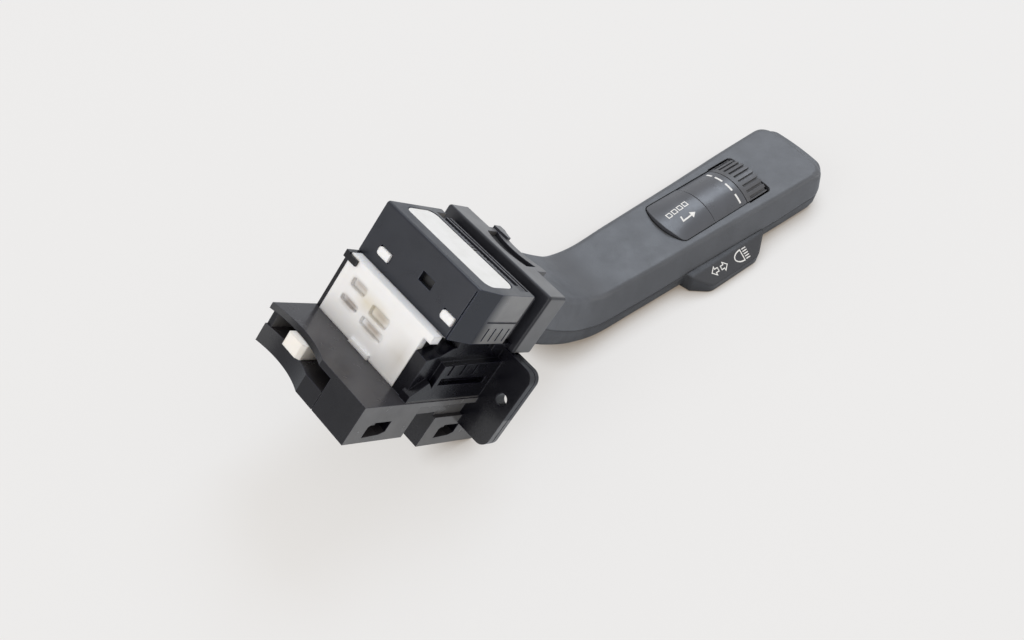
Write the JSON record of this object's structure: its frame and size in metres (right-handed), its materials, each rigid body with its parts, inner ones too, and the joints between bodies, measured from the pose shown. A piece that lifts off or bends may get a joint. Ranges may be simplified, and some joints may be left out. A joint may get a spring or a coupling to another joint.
{
  "type": "stalk switch",
  "caption": "Steering column stalk switch: bent lever with push button, rocking thumb wheel and end key, on a boxed switch housing with column fork, foot and screw ear.",
  "frame": {"origin": "centre of the fixing screw hole in the bracket's ear, halfway through its wall", "axes": "+X along the straight part of the lever towards its tip, +Z square to the lever's control face, up as the switch lies on a bench, +Y away from the screw ear; the housing is turned 36.5 degrees about Y against the lever"},
  "size_m": [0.2057, 0.0495, 0.0631],
  "materials": {
    "cover_black": "satin moulded black",
    "label_white": "bare printed-film sticker, left blank",
    "flange_black": "satin moulded black",
    "guide_white": "milky unfilled plastic",
    "bracket_black": "glossy moulded black",
    "board_green": "solder-masked board",
    "pawl_cream": "natural acetal",
    "spring_steel": "drawn wire",
    "yoke_grey": "glass-filled moulding",
    "cam_black": "greased acetal",
    "pin_steel": "ground pin",
    "lever_grey": "fine-grained grey-black",
    "core_black": "glass-filled moulding",
    "control_grey": "smooth satin grey-black",
    "wheel_black": "ribbed satin black",
    "dome_rubber": "moulded silicone",
    "seal_rubber": "thin moulded rubber",
    "carrier_black": "glass-filled moulding"
  },
  "bodies": {
    "base": {"housing_cover": "cover_black", "label": "label_white", "mounting_flange": "flange_black", "dust_collar": "flange_black", "dust_seal": "seal_rubber", "contact_carrier": "carrier_black", "guide_plate": "guide_white", "column_bracket": "bracket_black", "circuit_board": "board_green", "detent_cam": "cam_black", "pawl_spring": "spring_steel"},
    "yoke": {"turn_yoke": "yoke_grey", "detent_plunger": "pawl_cream", "detent_spring": "spring_steel", "flash_pin": "pin_steel"},
    "lever": {"lever_upper_shell": "lever_grey", "lever_lower_shell": "lever_grey", "lever_core": "core_black", "control_saddle": "control_grey", "wheel_axle": "pin_steel", "button_dome": "dome_rubber", "lever_board": "board_green", "end_spring": "spring_steel"},
    "wheel": {"scroll_wheel": "wheel_black"},
    "reset": {"reset_button": "control_grey"},
    "end_key": {"end_button": "lever_grey"},
    "pawl": {"cancel_pawl": "pawl_cream"}
  },
  "joints": [
    {"name": "turn_signal", "type": "hinge", "parent": "base", "child": "yoke", "pos_m": [0.0076, 0.0252, 0.01901], "axis": [0.5948, 0, 0.8039], "range_deg": [-8, 8]},
    {"name": "flash_pull", "type": "hinge", "parent": "yoke", "child": "lever", "pos_m": [0.01001, 0.0252, 0.01723], "axis": [0, -1, 0], "range_deg": [0, 7], "stiffness_Nm_per_rad": 1, "springref_deg": -6.88},
    {"name": "scroll_rock", "type": "hinge", "parent": "lever", "child": "wheel", "pos_m": [0.12586, 0.0252, -0.01997], "axis": [1, 0, 0], "range_deg": [-8, 8], "stiffness_Nm_per_rad": 0.05},
    {"name": "reset_press", "type": "slide", "parent": "lever", "child": "reset", "axis": [0, 0, -1], "range_m": [0, 0.0008], "stiffness_N_per_m": 800, "springref_m": -0.0008, "deforming": ["button_dome"]},
    {"name": "end_press", "type": "slide", "parent": "lever", "child": "end_key", "axis": [-1, 0, 0], "range_m": [0, 0.0008], "stiffness_N_per_m": 800, "springref_m": -0.0008, "deforming": ["end_spring"]},
    {"name": "pawl_slide", "type": "slide", "parent": "base", "child": "pawl", "axis": [0.8039, 0, -0.5948], "range_m": [0, 0.003], "stiffness_N_per_m": 300, "springref_m": -0.002, "deforming": ["pawl_spring"]}
  ]
}
